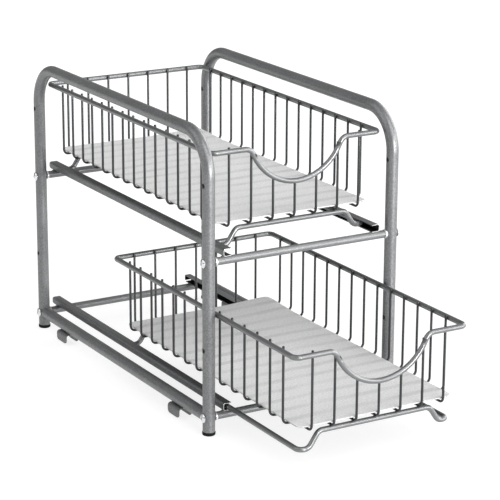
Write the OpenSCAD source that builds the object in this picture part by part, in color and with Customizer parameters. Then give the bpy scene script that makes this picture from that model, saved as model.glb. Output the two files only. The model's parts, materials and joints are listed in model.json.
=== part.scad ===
// Two-tier pull out basket for a cabinet.
// A frame of two tube hoops and four cross rods carries two wire baskets,
// and each basket slides to the front on a pair of C rails.
// The origin is on the floor, in the middle of the four feet.
// +Z is up, -Y is the front, where the baskets come out.

/* [Frame] */
// Spacing of the leg axes across the frame
frame_w = 237; // [205:1:300]
// Spacing of the leg axes from front to back
frame_l = 428; // [400:1:520]
// Overall height, from the floor to the top of the hoops
frame_h = 346; // [335:1:420]
// Outside diameter of the hoop and side tubes
tube_d = 14; // [12:0.5:18]
// Wall of the hoop and side tubes
tube_wall = 1; // [0.6:0.1:1.8]
// Centreline radius of the hoops' top corners
hoop_bend_r = 46; // [30:1:48]
// Height of the side tubes' axis
side_tube_z = 20.5; // [19:0.5:30]
// Diameter of the screw holes and spare holes in the legs
hole_d = 5.5; // [5.1:0.1:5.9]
// Height of the lower spare hole
low_hole_z = 99; // [60:1:150]
// Distance of the upper spare hole from the top of the hoops
high_hole_drop = 60.5; // [60.5:0.5:96]

/* [Cross rods] */
// Outside diameter of the cross rods
rod_d = 9; // [8.5:0.5:11]
// Wall of the cross rods
rod_wall = 1; // [0.6:0.1:1.2]
// Height of the lower rods' axis
lower_rod_z = 20.5; // [19:0.5:24]
// Height of the upper rods' axis
upper_rod_z = 199; // [190:1:205]

/* [Screws and inserts] */
// Diameter of the screws' shanks
screw_d = 5; // [4:0.1:5]
// Length of the screws under the head
screw_l = 25; // [20:1:30]
// Diameter of the screws' domed heads
head_d = 10.5; // [9:0.5:12]
// Height of the screws' domed heads
head_h = 2.8; // [2.4:0.1:3.5]
// Height of the straight edge under the dome
head_edge = 0.6; // [0.3:0.1:1]
// Width of the hex socket across its flats
socket_w = 3; // [2:0.5:4]
// Depth of the hex socket
socket_h = 1.6; // [1:0.1:2]
// Thickness of the insert's collar at the end of a rod
collar_h = 1.2; // [0.8:0.1:2]
// Length of the insert inside the rod
insert_l = 16; // [10:1:24]

/* [Feet] */
// Diameter of the foot below the leg
foot_d = 15; // [14:0.5:18]
// Height of the foot below the leg
foot_h = 4; // [3:0.5:5]
// Bevel round the bottom of the foot
foot_bevel = 0.8; // [0.4:0.1:1.2]
// Length of the foot's plug inside the leg
plug_l = 10; // [6:0.5:11]

/* [Stacking clips] */
// Distance of the clips from the legs' axes
clip_inset = 67.5; // [44:0.5:134]
// Length of a clip along its tube
clip_l = 26; // [15:1:40]
// Sheet thickness of a clip
clip_sheet = 1.2; // [0.8:0.1:2]
// Play of a clip on the top bar of the unit below, on each side
clip_play = 0.3; // [0.1:0.1:1]
// Outer bend radius of a clip
clip_bend_r = 3.5; // [2.5:0.5:5]
// Corner radius of a clip's flanges
clip_corner_r = 4.5; // [2:0.5:6]
// Height of the clips' lower edges above the floor
clip_lift = 2; // [1:0.5:4]

/* [Rails] */
// Width of a rail across the frame
rail_w = 10; // [9:0.5:14]
// Height of a rail
rail_h = 9; // [8.8:0.1:11]
// Sheet thickness of a rail
rail_sheet = 1; // [0.8:0.1:1.1]
// Outer bend radius of a rail
rail_bend_r = 2.5; // [1.5:0.1:3]
// Distance between a leg and the back of its rail
rail_inset = 10; // [4:0.5:16]
// How far the rails reach past the front rods' axis
rail_front_past = 2.5; // [1:0.5:8]
// How far the rails reach past the rear rods' axis
rail_rear_past = 11; // [4:0.5:16]
// Bevel of the lower corner at a rail's rear end
rail_bevel = 3; // [1:0.5:4]
// Length of a stop lug along its rail
lug_l = 5; // [3:0.5:10]
// Height of a stop lug above the rail's floor
lug_h = 3.5; // [2:0.5:5]

/* [Basket] */
// Length of a basket, between the rim wire's axes
basket_l = 410; // [360:1:430]
// Height of the rim's axis above the floor wires' axis
basket_h = 85.75; // [60:0.25:100]
// Diameter of the rim and runner wire
rim_d = 6; // [5:0.5:6]
// Centreline radius of the rim's corners
rim_bend_r = 7; // [5:0.5:20]
// Clearance between a rim and the legs
rim_gap = 0.6; // [0.5:0.1:3]
// How far the scoop dips below the rim
scoop_depth = 43; // [25:1:50]
// Centreline radius of the scoop's bottom
scoop_r = 61; // [45:0.5:70]
// Centreline radius of the scoop's shoulders
scoop_shoulder_r = 11.5; // [8:0.5:20]

/* [Basket wires] */
// Diameter of the floor and side wires
wire_d = 2.8; // [2:0.1:3.5]
// Bend radius of the floor wires at the sides and ends
wire_bend_r = 6; // [4:0.5:10]
// Spacing of the lengthwise wires
long_pitch = 28; // [20:0.5:40]
// Least distance of a lengthwise wire from the rim's side
long_margin = 22; // [18:1:40]
// Spacing of the crosswise wires
cross_pitch = 26.8; // [20:0.2:40]
// Least distance of a crosswise wire from the rim's end
cross_margin = 30; // [22:1:50]
// How far the wire tips stand above the rim's axis
tip_rise = 3.5; // [0:0.5:6]

/* [Runner] */
// Play between a runner's bar and the back of its rail
runner_play = 2.3; // [1:0.1:3]
// Distance of the runner's end bars from the rim's ends
runner_inset = 11.5; // [8:0.5:30]
// Centreline radius of the runner's corners
runner_bend_r = 7; // [6:0.5:12]
// Height of the runner's step up to the basket's floor
step_h = 18; // [16:0.5:26]
// Straight length between a runner's corner and its step
step_gap = 0.4; // [0.2:0.1:15]
// Slope of the step in degrees
step_slope = 56; // [45:1:75]
// Centreline radius of the step's bends
step_bend_r = 9; // [4:0.5:10]

/* [Liner] */
// Thickness of the mat on a basket's floor
liner_h = 1.5; // [0.5:0.1:2]
// Corner radius of the mat
liner_corner_r = 8; // [5:1:30]
// Clearance between the mat and the bends of the side wires
liner_side_gap = 0.05; // [0.05:0.05:20]
// Clearance between the mat and the bends of the front wires
liner_front_gap = 0.1; // [0.05:0.05:20]
// Clearance between the mat and the bends of the rear wires
liner_rear_gap = 3.65; // [0.05:0.05:20]

/* [Travel] */
// How far behind the middle of the frame a basket stands when it is pushed in
closed_y = 3; // [0:0.5:8]
// How far a basket comes out before its lugs stop it
travel = 280; // [180:1:300]
// How far the upper basket is drawn out
upper_out = 0; // [0:1:300]
// How far the lower basket is drawn out
lower_out = 175; // [0:1:300]

/* [Clearances] */
// Seam between pieces that are welded, clamped or laid on each other
seam = 0.05; // [0.03:0.01:0.08]
// Running clearance of a basket in its rails
run_gap = 0.3; // [0.2:0.05:0.4]
// Radial clearance of plugs and inserts in their tubes
fit_gap = 0.05; // [0.03:0.01:0.1]

/* [Hidden] */
$fn = 48;

tube_color = "#86898b";
rod_color = "#b9bbbd";
rail_color = "#74777a";
wire_color = "#9a9c9e";
screw_color = "#d9dadb";
foot_color = "#1b1c1d";
liner_color = "#d4d4d4";

// Legs and rods
leg_x = frame_w / 2;
leg_y = frame_l / 2;
tube_r = tube_d / 2;
leg_face_x = leg_x - tube_r;
hoop_top_z = frame_h - tube_r;
leg_bottom_z = foot_h + seam;
high_hole_z = frame_h - high_hole_drop;
clip_y = leg_y - clip_inset;
rod_end_x = leg_face_x - seam - collar_h - seam;
cut = 1; // how far a cutting shape runs past what it cuts
swell = 0.01; // extra radius of the ball that closes each joint of a straight and a bend

// Rails, as offsets from the axis of the rods that carry them
rail_back_x = leg_face_x - rail_inset;
rail_mouth_x = rail_back_x - rail_w;
rail_floor = rod_d / 2 + seam + rail_sheet;
rail_front_y = -leg_y - rail_front_past;
rail_rear_y = leg_y + rail_rear_past;

// Basket, as offsets from the axis of its rods and from its own middle
rim_r = rim_d / 2;
wire_r = wire_d / 2;
rim_x = leg_face_x - rim_gap - rim_r;
rim_y = basket_l / 2;
bar_x = rail_back_x - rail_sheet - runner_play - rim_r;
bar_y = rim_y - runner_inset;
bar_h = rail_floor + run_gap + rim_r;
step_top_h = bar_h + step_h;
long_h = step_top_h + rim_r + seam + wire_r;
cross_h = long_h + wire_d + seam;
rim_h = long_h + basket_h;
liner_bottom_h = cross_h + wire_r + 2 * seam;
side_wire_x = rim_x - rim_r - seam - wire_r;
end_wire_y = rim_y - rim_r - seam - wire_r;

// The mat's edges lie in the hollow of the wires' bends
hollow_r = wire_bend_r - wire_r;
side_set_back = hollow_depth(wire_bend_r - wire_r - 2 * seam);
end_set_back = hollow_depth(wire_bend_r - 3 * wire_r - 3 * seam);

// Scoop: two shoulder arcs that run straight into the bottom arc
scoop_turn = acos((scoop_r - scoop_depth + scoop_shoulder_r) / (scoop_r + scoop_shoulder_r));
shoulder_x = (scoop_r + scoop_shoulder_r) * sin(scoop_turn);
scoop_corner_x = shoulder_x - scoop_shoulder_r * tan(scoop_turn / 2);
scoop_corner_drop = scoop_corner_x * tan(scoop_turn);

// The bend of a runner's corner meets a lug this far from the basket's middle
bend_x = bar_x - runner_bend_r;
bend_inner_r = runner_bend_r - rim_r;
lug_meets_y = bar_y - runner_bend_r
    + sqrt(max(0, pow(bend_inner_r, 2) - pow(rail_mouth_x - bend_x, 2)));
closed_lug_y = closed_y - lug_meets_y + run_gap;
open_lug_y = closed_y - travel + lug_meets_y - run_gap - lug_l;

// How far a bend's hollow stands in at h below the bend's centre
function hollow_depth(h) =
    hollow_r - sqrt(pow(hollow_r, 2) - pow(min(hollow_r, max(0, h)), 2));
// Unit vector along v
function unit(v) = v / norm(v);
// Position of corner i of a path, counted round the path
function corner(path, i) =
    let (c = path[(i + len(path)) % len(path)]) [c[0], c[1], c[2]];
// Direction of the path after corner i
function way(path, i) = unit(corner(path, i + 1) - corner(path, i));
// Angle that the path turns through at corner i
function turn(path, i) = acos(max(-1, min(1, way(path, i - 1) * way(path, i))));
// Normal of the plane in which the path bends at corner i
function bend_normal(path, i) = unit(cross(way(path, i - 1), way(path, i)));
// Length that the bend at corner i takes from the straight on each side
function bend_trim(path, i) =
    let (r = path[i % len(path)][3]) r > 0 ? r * tan(turn(path, i) / 2) : 0;
// Matrix that carries the axes to x, y and z and the origin to o
function placed(x, y, z, o) = [
    [x[0], y[0], z[0], o[0]],
    [x[1], y[1], z[1], o[1]],
    [x[2], y[2], z[2], o[2]],
    [0, 0, 0, 1]];
// Height of the rim's axis at distance x from the middle of the front, from the rim's level
function scoop_level(x) =
    abs(x) < scoop_r * sin(scoop_turn)
        ? scoop_r - scoop_depth - sqrt(pow(scoop_r, 2) - pow(x, 2))
        : abs(x) < shoulder_x
            ? sqrt(pow(scoop_shoulder_r, 2) - pow(shoulder_x - abs(x), 2)) - scoop_shoulder_r
            : 0;
// Places of a row of wires, spread evenly about the middle
function row(span, pitch) =
    let (n = floor(span / pitch)) [for (i = [0 : n]) (i - n / 2) * pitch];

// Round bar that follows a path of corners [x, y, z, bend radius], with a ball at each joint
module bent_bar(path, d, closed = false) {
    legs = len(path) - (closed ? 0 : 1);
    first_bend = closed ? 0 : 1;
    for (i = [0 : legs - 1]) {
        start = corner(path, i) + way(path, i) * bend_trim(path, i);
        end = corner(path, i + 1) - way(path, i) * bend_trim(path, i + 1);
        side = bend_normal(path, max(i, first_bend));
        if ((end - start) * way(path, i) > 0.001)
            multmatrix(placed(side, cross(way(path, i), side), way(path, i), start))
                cylinder(d = d, h = norm(end - start));
    }
    for (i = [first_bend : legs - 1]) {
        r = path[i][3];
        inward = cross(bend_normal(path, i), way(path, i - 1));
        bend_start = corner(path, i) - way(path, i - 1) * bend_trim(path, i);
        bend_end = corner(path, i) + way(path, i) * bend_trim(path, i);
        multmatrix(placed(-inward, way(path, i - 1), bend_normal(path, i), bend_start + inward * r))
            rotate_extrude(angle = turn(path, i))
                translate([r, 0])
                    circle(d = d);
        joint_ball(bend_start, way(path, i - 1), bend_normal(path, i), d);
        joint_ball(bend_end, way(path, i), bend_normal(path, i), d);
    }
}

// Ball that closes the joint of a straight and a bend, its poles along the bar
module joint_ball(p, along, side, d) {
    multmatrix(placed(side, cross(along, side), along, p))
        sphere(r = d / 2 + swell);
}

// Flat outline with its two upper corners rounded, standing on the x axis
module arch(w, h, r) {
    translate([-w / 2, 0])
        square([w, h - r]);
    translate([r - w / 2, 0])
        square([w - 2 * r, h]);
    for (s = [-1, 1])
        translate([s * (w / 2 - r), h - r])
            circle(r = r);
}

// Outline of sheet folded to a channel, open at the bottom
module channel(w, h, r, sheet) {
    difference() {
        arch(w, h, r);
        translate([0, -cut])
            arch(w - 2 * sheet, h - sheet + cut, max(r - sheet, 0.1));
    }
}

// Cylinder along the X axis, centred
module cross_cylinder(d, l) {
    rotate([0, 90, 0])
        cylinder(d = d, h = l, center = true);
}

// Inverted U of tube: front leg, top bar and rear leg
module hoop(side) {
    x = side * leg_x;
    color(tube_color)
    difference() {
        bent_bar(hoop_path(x, leg_bottom_z), tube_d);
        bent_bar(hoop_path(x, leg_bottom_z - cut), tube_d - 2 * tube_wall);
        for (y = [-leg_y, leg_y], z = [lower_rod_z, low_hole_z, upper_rod_z, high_hole_z])
            translate([x, y, z])
                cross_cylinder(hole_d, tube_d + 2 * cut);
    }
}

function hoop_path(x, bottom_z) = [
    [x, -leg_y, bottom_z, 0],
    [x, -leg_y, hoop_top_z, hoop_bend_r],
    [x, leg_y, hoop_top_z, hoop_bend_r],
    [x, leg_y, bottom_z, 0]];

// Low tube between the legs of one hoop, its ends cut to the legs' round and cleared for the screws
module side_tube(side) {
    end_y = leg_y - tube_wall - seam;
    color(tube_color)
    difference() {
        translate([side * leg_x, end_y, side_tube_z])
            rotate([90, 0, 0])
                cylinder(d = tube_d, h = 2 * end_y);
        translate([side * leg_x, end_y + cut, side_tube_z])
            rotate([90, 0, 0])
                cylinder(d = tube_d - 2 * tube_wall, h = 2 * (end_y + cut));
        for (y = [-leg_y, leg_y]) {
            translate([side * leg_x, y, side_tube_z - tube_d])
                cylinder(r = tube_r + seam, h = 2 * tube_d);
            translate([side * leg_x, y, lower_rod_z])
                cross_cylinder(hole_d, tube_d + 2 * cut);
        }
    }
}

// Tube across the frame, between the collars of its two inserts
module cross_rod(end, z) {
    color(rod_color)
    translate([0, end * leg_y, z])
        difference() {
            cross_cylinder(rod_d, 2 * rod_end_x);
            cross_cylinder(rod_d - 2 * rod_wall, 2 * (rod_end_x + cut));
        }
}

// Puts a piece at both ends of both rods of one tier, its +Z pointing out of the leg
module at_rod_ends(x, z) {
    for (side = [-1, 1], end = [-1, 1])
        translate([side * x, end * leg_y, z])
            rotate([0, side * 90, 0])
                children();
}

// Threaded end piece of a rod: a collar against the leg and a body inside the rod
module insert() {
    difference() {
        union() {
            translate([0, 0, -collar_h])
                cylinder(d = rod_d, h = collar_h);
            translate([0, 0, -collar_h - insert_l])
                cylinder(d = rod_d - 2 * rod_wall - 2 * fit_gap, h = insert_l);
        }
        translate([0, 0, -collar_h - insert_l - cut])
            cylinder(d = screw_d + 2 * fit_gap, h = collar_h + insert_l + 2 * cut);
    }
}

module rod_inserts(z) {
    color(screw_color)
    at_rod_ends(leg_face_x - seam, z)
        insert();
}

// Button-head screw with a hex socket, its head standing on the leg
module screw() {
    dome_h = head_h - head_edge;
    dome_r = (pow(head_d / 2, 2) + pow(dome_h, 2)) / (2 * dome_h);
    difference() {
        union() {
            cylinder(d = head_d, h = head_edge);
            intersection() {
                translate([0, 0, head_h - dome_r])
                    sphere(r = dome_r);
                translate([0, 0, head_edge])
                    cylinder(d = head_d, h = dome_h);
            }
            translate([0, 0, -screw_l])
                cylinder(d = screw_d, h = screw_l);
        }
        translate([0, 0, head_h - socket_h])
            cylinder(d = socket_w / cos(30), h = socket_h + cut, $fn = 6);
    }
}

module screws(z) {
    color(screw_color)
    at_rod_ends(leg_x + tube_r + seam, z)
        screw();
}

// End cap of a leg: a bevelled disc to stand on and a plug inside the tube
module foot(side, end) {
    color(foot_color)
    translate([side * leg_x, end * leg_y, 0]) {
        cylinder(d1 = foot_d - 2 * foot_bevel, d2 = foot_d, h = foot_bevel);
        translate([0, 0, foot_bevel])
            cylinder(d = foot_d, h = foot_h - foot_bevel);
        translate([0, 0, foot_h])
            cylinder(d = tube_d - 2 * tube_wall - 2 * fit_gap, h = plug_l);
    }
}

// Saddle under a side tube, which drops over the top bar of a unit below
module stacking_clip(side, end) {
    w = tube_d + 2 * clip_play + 2 * clip_sheet;
    h = side_tube_z - tube_r - seam - clip_lift;
    color(rail_color)
    translate([side * leg_x, end * clip_y, clip_lift])
        intersection() {
            rotate([90, 0, 0])
                linear_extrude(clip_l, center = true)
                    channel(w, h, clip_bend_r, clip_sheet);
            translate([0, 0, h])
                rotate([-90, 0, 90])
                    linear_extrude(w + 2 * cut, center = true)
                        arch(clip_l, h, clip_corner_r);
        }
}

// C rail on the rods of one tier, open towards the basket, closed at the rear, with two lugs
module rail(side, rod_z) {
    color(rail_color)
    mirror([side < 0 ? 1 : 0, 0, 0])
        translate([0, 0, rod_z + rod_d / 2 + seam])
            difference() {
                union() {
                    rail_profile(rail_front_y, rail_rear_y - rail_front_y)
                        channel(rail_h, rail_w, rail_bend_r, rail_sheet);
                    rail_profile(rail_rear_y - rail_sheet, rail_sheet)
                        arch(rail_h, rail_w, rail_bend_r);
                    for (y = [closed_lug_y, open_lug_y])
                        translate([rail_mouth_x - rail_sheet, y, 0])
                            cube([rail_sheet, lug_l, rail_sheet + lug_h]);
                }
                translate([rail_mouth_x - cut, rail_rear_y - rail_bevel, 0])
                    rotate([45, 0, 0])
                        translate([0, 0, -rail_bevel * 2])
                            cube([rail_w + 2 * cut, rail_bevel * 2, rail_bevel * 2]);
            }
}

// Extrudes a rail outline along Y: its x becomes height, its y points away from the mouth
module rail_profile(y, l) {
    translate([rail_mouth_x, y, rail_h / 2])
        rotate([-90, -90, 0])
            linear_extrude(l)
                children();
}

// Carries what is drawn about a basket's own middle to its tier and place
module on_tier(rod_z, out) {
    translate([0, closed_y - out, rod_z])
        children();
}

// Thick wire loop round the top, dipping into the scoop at the front
module rim() {
    path = [
        [rim_x, rim_y, rim_h, rim_bend_r],
        [-rim_x, rim_y, rim_h, rim_bend_r],
        [-rim_x, -rim_y, rim_h, rim_bend_r],
        [-scoop_corner_x, -rim_y, rim_h, scoop_shoulder_r],
        [0, -rim_y, rim_h - scoop_corner_drop, scoop_r],
        [scoop_corner_x, -rim_y, rim_h, scoop_shoulder_r],
        [rim_x, -rim_y, rim_h, rim_bend_r]];
    color(wire_color)
    bent_bar(path, rim_d, closed = true);
}

// U wires that cross the floor from side to side
module cross_wires() {
    top_h = rim_h + tip_rise;
    color(wire_color)
    for (y = row(basket_l - 2 * cross_margin, cross_pitch))
        bent_bar([
            [-side_wire_x, y, top_h, 0],
            [-side_wire_x, y, cross_h, wire_bend_r],
            [side_wire_x, y, cross_h, wire_bend_r],
            [side_wire_x, y, top_h, 0]], wire_d);
}

// U wires that run along the floor; those under the scoop end at its bar
module long_wires() {
    color(wire_color)
    for (x = row(2 * (rim_x - long_margin), long_pitch))
        bent_bar([
            [x, -end_wire_y, rim_h + (abs(x) < shoulder_x ? scoop_level(x) : tip_rise), 0],
            [x, -end_wire_y, long_h, wire_bend_r],
            [x, end_wire_y, long_h, wire_bend_r],
            [x, end_wire_y, rim_h + tip_rise, 0]], wire_d);
}

// Thick wire loop: side bars in the rails, end bars stepped up to the floor
module runner() {
    step_foot_x = bar_x - runner_bend_r - step_gap - step_bend_r * tan(step_slope / 2);
    step_top_x = step_foot_x - step_h / tan(step_slope);
    quarter = [
        [bar_x, bar_y, bar_h, runner_bend_r],
        [step_foot_x, bar_y, bar_h, step_bend_r],
        [step_top_x, bar_y, step_top_h, step_bend_r]];
    path = [
        for (p = quarter) p,
        for (i = [2, 1, 0]) let (p = quarter[i]) [-p[0], p[1], p[2], p[3]],
        for (p = quarter) [-p[0], -p[1], p[2], p[3]],
        for (i = [2, 1, 0]) let (p = quarter[i]) [p[0], -p[1], p[2], p[3]]];
    color(wire_color)
    bent_bar(path, rim_d, closed = true);
}

// Thin mat on the floor wires
module liner() {
    w = 2 * (side_wire_x - wire_r - side_set_back - liner_side_gap);
    front_y = -end_wire_y + wire_r + end_set_back + liner_front_gap;
    rear_y = end_wire_y - wire_r - end_set_back - liner_rear_gap;
    r = liner_corner_r;
    color(liner_color)
    translate([0, front_y, liner_bottom_h])
        linear_extrude(liner_h)
            union() {
                translate([-w / 2, r])
                    square([w, rear_y - front_y - 2 * r]);
                translate([r - w / 2, 0])
                    square([w - 2 * r, rear_y - front_y]);
                for (x = [r - w / 2, w / 2 - r], y = [r, rear_y - front_y - r])
                    translate([x, y])
                        circle(r = r);
            }
}

module left_hoop() { hoop(-1); }
module right_hoop() { hoop(1); }
module left_side_tube() { side_tube(-1); }
module right_side_tube() { side_tube(1); }
module front_lower_rod() { cross_rod(-1, lower_rod_z); }
module rear_lower_rod() { cross_rod(1, lower_rod_z); }
module front_upper_rod() { cross_rod(-1, upper_rod_z); }
module rear_upper_rod() { cross_rod(1, upper_rod_z); }
module lower_left_rail() { rail(-1, lower_rod_z); }
module lower_right_rail() { rail(1, lower_rod_z); }
module upper_left_rail() { rail(-1, upper_rod_z); }
module upper_right_rail() { rail(1, upper_rod_z); }
module lower_screws() { screws(lower_rod_z); }
module upper_screws() { screws(upper_rod_z); }
module lower_rod_inserts() { rod_inserts(lower_rod_z); }
module upper_rod_inserts() { rod_inserts(upper_rod_z); }
module foot_front_left() { foot(-1, -1); }
module foot_front_right() { foot(1, -1); }
module foot_rear_left() { foot(-1, 1); }
module foot_rear_right() { foot(1, 1); }
module stacking_clip_front_left() { stacking_clip(-1, -1); }
module stacking_clip_front_right() { stacking_clip(1, -1); }
module stacking_clip_rear_left() { stacking_clip(-1, 1); }
module stacking_clip_rear_right() { stacking_clip(1, 1); }
module lower_rim() { on_tier(lower_rod_z, lower_out) rim(); }
module lower_cross_wires() { on_tier(lower_rod_z, lower_out) cross_wires(); }
module lower_long_wires() { on_tier(lower_rod_z, lower_out) long_wires(); }
module lower_runner() { on_tier(lower_rod_z, lower_out) runner(); }
module lower_liner() { on_tier(lower_rod_z, lower_out) liner(); }
module upper_rim() { on_tier(upper_rod_z, upper_out) rim(); }
module upper_cross_wires() { on_tier(upper_rod_z, upper_out) cross_wires(); }
module upper_long_wires() { on_tier(upper_rod_z, upper_out) long_wires(); }
module upper_runner() { on_tier(upper_rod_z, upper_out) runner(); }
module upper_liner() { on_tier(upper_rod_z, upper_out) liner(); }

left_hoop();
right_hoop();
left_side_tube();
right_side_tube();
front_lower_rod();
rear_lower_rod();
front_upper_rod();
rear_upper_rod();
lower_left_rail();
lower_right_rail();
upper_left_rail();
upper_right_rail();
lower_screws();
upper_screws();
lower_rod_inserts();
upper_rod_inserts();
foot_front_left();
foot_front_right();
foot_rear_left();
foot_rear_right();
stacking_clip_front_left();
stacking_clip_front_right();
stacking_clip_rear_left();
stacking_clip_rear_right();
lower_rim();
lower_cross_wires();
lower_long_wires();
lower_runner();
lower_liner();
upper_rim();
upper_cross_wires();
upper_long_wires();
upper_runner();
upper_liner();
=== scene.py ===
import json
import math

import bpy
from mathutils import Matrix, Vector


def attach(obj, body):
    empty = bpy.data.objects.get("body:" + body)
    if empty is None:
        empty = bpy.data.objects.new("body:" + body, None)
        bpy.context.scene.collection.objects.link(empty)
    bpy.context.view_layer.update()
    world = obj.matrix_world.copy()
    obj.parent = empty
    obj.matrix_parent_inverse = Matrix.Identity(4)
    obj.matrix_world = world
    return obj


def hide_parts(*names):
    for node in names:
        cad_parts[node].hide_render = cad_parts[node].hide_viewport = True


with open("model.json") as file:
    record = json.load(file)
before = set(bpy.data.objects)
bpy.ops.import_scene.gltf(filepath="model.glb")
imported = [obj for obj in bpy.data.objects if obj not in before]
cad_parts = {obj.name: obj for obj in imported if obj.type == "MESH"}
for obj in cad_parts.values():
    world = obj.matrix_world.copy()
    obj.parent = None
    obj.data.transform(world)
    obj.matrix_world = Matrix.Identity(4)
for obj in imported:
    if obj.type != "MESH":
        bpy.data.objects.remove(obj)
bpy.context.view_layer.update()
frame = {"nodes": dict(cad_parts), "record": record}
mm = 0.001
print("frame loaded")

# places that several pieces share, mm
legX, legY = 118.5, 214                         # axes of the legs, on both sides
rodHeights = {"lower": 20.5, "upper": 199.0}    # axes of the cross rods
railFloors = (25.05, 203.55)                    # undersides of the C rails
wirePitch, firstWire = 26.8, -174.2             # cross wires, from the basket's middle

# camera: a long lens from the front left and a little above
cameraView = {
    "place": (-1.1838, -2.1136, 0.8643),    # metres
    "yaw": 30.458,       # degrees, turned from +Y towards +X
    "pitch": 16.637,     # degrees, downwards
    "roll": 0.281,
    "lens": 151.55,      # mm, on a sensor of this width
    "sensor": 36,
    "farEnd": 100,       # metres
}


def addCamera(view):
    yaw, pitch, roll = (math.radians(view[key]) for key in ("yaw", "pitch", "roll"))
    look = Vector((math.sin(yaw) * math.cos(pitch), math.cos(yaw) * math.cos(pitch), -math.sin(pitch)))
    level = Vector((math.cos(yaw), -math.sin(yaw), 0))
    rise = level.cross(look)
    right = level * math.cos(roll) + rise * math.sin(roll)
    up = rise * math.cos(roll) - level * math.sin(roll)
    data = bpy.data.cameras.new("camera")
    data.sensor_width = view["sensor"]
    data.lens = view["lens"]
    data.clip_end = view["farEnd"]
    cam = bpy.data.objects.new("camera", data)
    turn = Matrix((right, up, -look)).transposed().to_4x4()
    cam.matrix_world = Matrix.Translation(view["place"]) @ turn
    bpy.context.scene.collection.objects.link(cam)
    bpy.context.scene.camera = cam


addCamera(cameraView)


def linear(hexColor):
    # sRGB hex to linear colour
    value = [int(hexColor[i:i + 2], 16) / 255 for i in (1, 3, 5)]
    return [v / 12.92 if v <= 0.04045 else ((v + 0.055) / 1.055) ** 2.4 for v in value] + [1]


def addNode(tree, kind, settings=None, inputs=None):
    # one node with its settings; an input is a value or another node's output
    node = tree.nodes.new(kind)
    for name, value in (settings or {}).items():
        setattr(node, name, value)
    for name, value in (inputs or {}).items():
        if isinstance(value, bpy.types.NodeSocket):
            tree.links.new(value, node.inputs[name])
        else:
            node.inputs[name].default_value = value
    return node


# materials; sizes and depths of their patterns are in mm
def newMaterial(name, color, roughness, metallic=0.0):
    material = bpy.data.materials.new(name)
    material.use_nodes = True
    shader = material.node_tree.nodes["Principled BSDF"]
    shader.inputs["Base Color"].default_value = linear(color)
    shader.inputs["Roughness"].default_value = roughness
    shader.inputs["Metallic"].default_value = metallic
    return material, material.node_tree, shader


# the real flakes are about a twentieth of a millimetre; drawn as coarse as they need to show
coatFinish = {
    "tube": {"color": "#818283", "roughness": 0.39, "metallic": 0.62, "cloud": 35, "toneSpread": 0.05,
             "flake": 1.8, "flakeSpread": 0.15, "peel": 1.8, "peelStrength": 0.6},
    "rod": {"color": "#848586", "roughness": 0.40, "metallic": 0.5, "cloud": 35, "toneSpread": 0.04,
            "flake": 1.8, "flakeSpread": 0.07, "peel": 1.8, "peelStrength": 0.5},
    "rail": {"color": "#767778", "roughness": 0.44, "metallic": 0.5, "cloud": 25, "toneSpread": 0.06,
             "flake": 1.8, "flakeSpread": 0.15, "peel": 1.8, "peelStrength": 0.6,
             # painted shade: the inside of the rails' channels is drawn near black
             "channelShadeColor": "#1a1a1b",
             "channelShadeX": (91.8, 100.52),     # from the frame's middle, on both sides
             "channelShadeZ": (0.97, 8.03)},      # from the rail's underside
    "bar": {"color": "#838485", "roughness": 0.34, "metallic": 0.7, "cloud": 25, "toneSpread": 0.05,
            "flake": 0.5, "flakeSpread": 0.05, "peel": 1.6, "peelStrength": 0.3},
    # the same coat as the bars, drawn much darker on the thin wires: painted shade
    "wire": {"color": "#444546", "roughness": 0.31, "metallic": 0.8, "cloud": 25, "toneSpread": 0.05,
             "flake": 0.5, "flakeSpread": 0.05, "peel": 1.6, "peelStrength": 0.3},
}
coatGrain = {
    "cloudRange": (0.3, 0.7),       # span of the noise that the tones are spread over
    "flakeRange": (0.35, 0.65),
    "glossSpread": 0.03,            # either side of the roughness
    "peelDepth": 0.04,
}


def channelShadeMask(tree, place, finish):
    # 1 on the inner walls of the C rails, where painted shade darkens the coat
    axes = addNode(tree, "ShaderNodeSeparateXYZ", None, {"Vector": place}).outputs
    x = addNode(tree, "ShaderNodeMath", {"operation": "ABSOLUTE"}, {0: axes["X"]}).outputs["Value"]

    def within(value, low, high):
        box = addNode(tree, "ShaderNodeMath", {"operation": "COMPARE"}, {
            0: value, 1: (low + high) / 2 * mm, 2: (high - low) / 2 * mm})
        return box.outputs["Value"]

    deep = within(x, *finish["channelShadeX"])
    lower, upper = (within(axes["Z"], *(floor + z for z in finish["channelShadeZ"])) for floor in railFloors)
    either = addNode(tree, "ShaderNodeMath", {"operation": "ADD"}, {0: lower, 1: upper}).outputs["Value"]
    return addNode(tree, "ShaderNodeMath", {"operation": "MULTIPLY"}, {0: deep, 1: either}).outputs["Value"]


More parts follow.
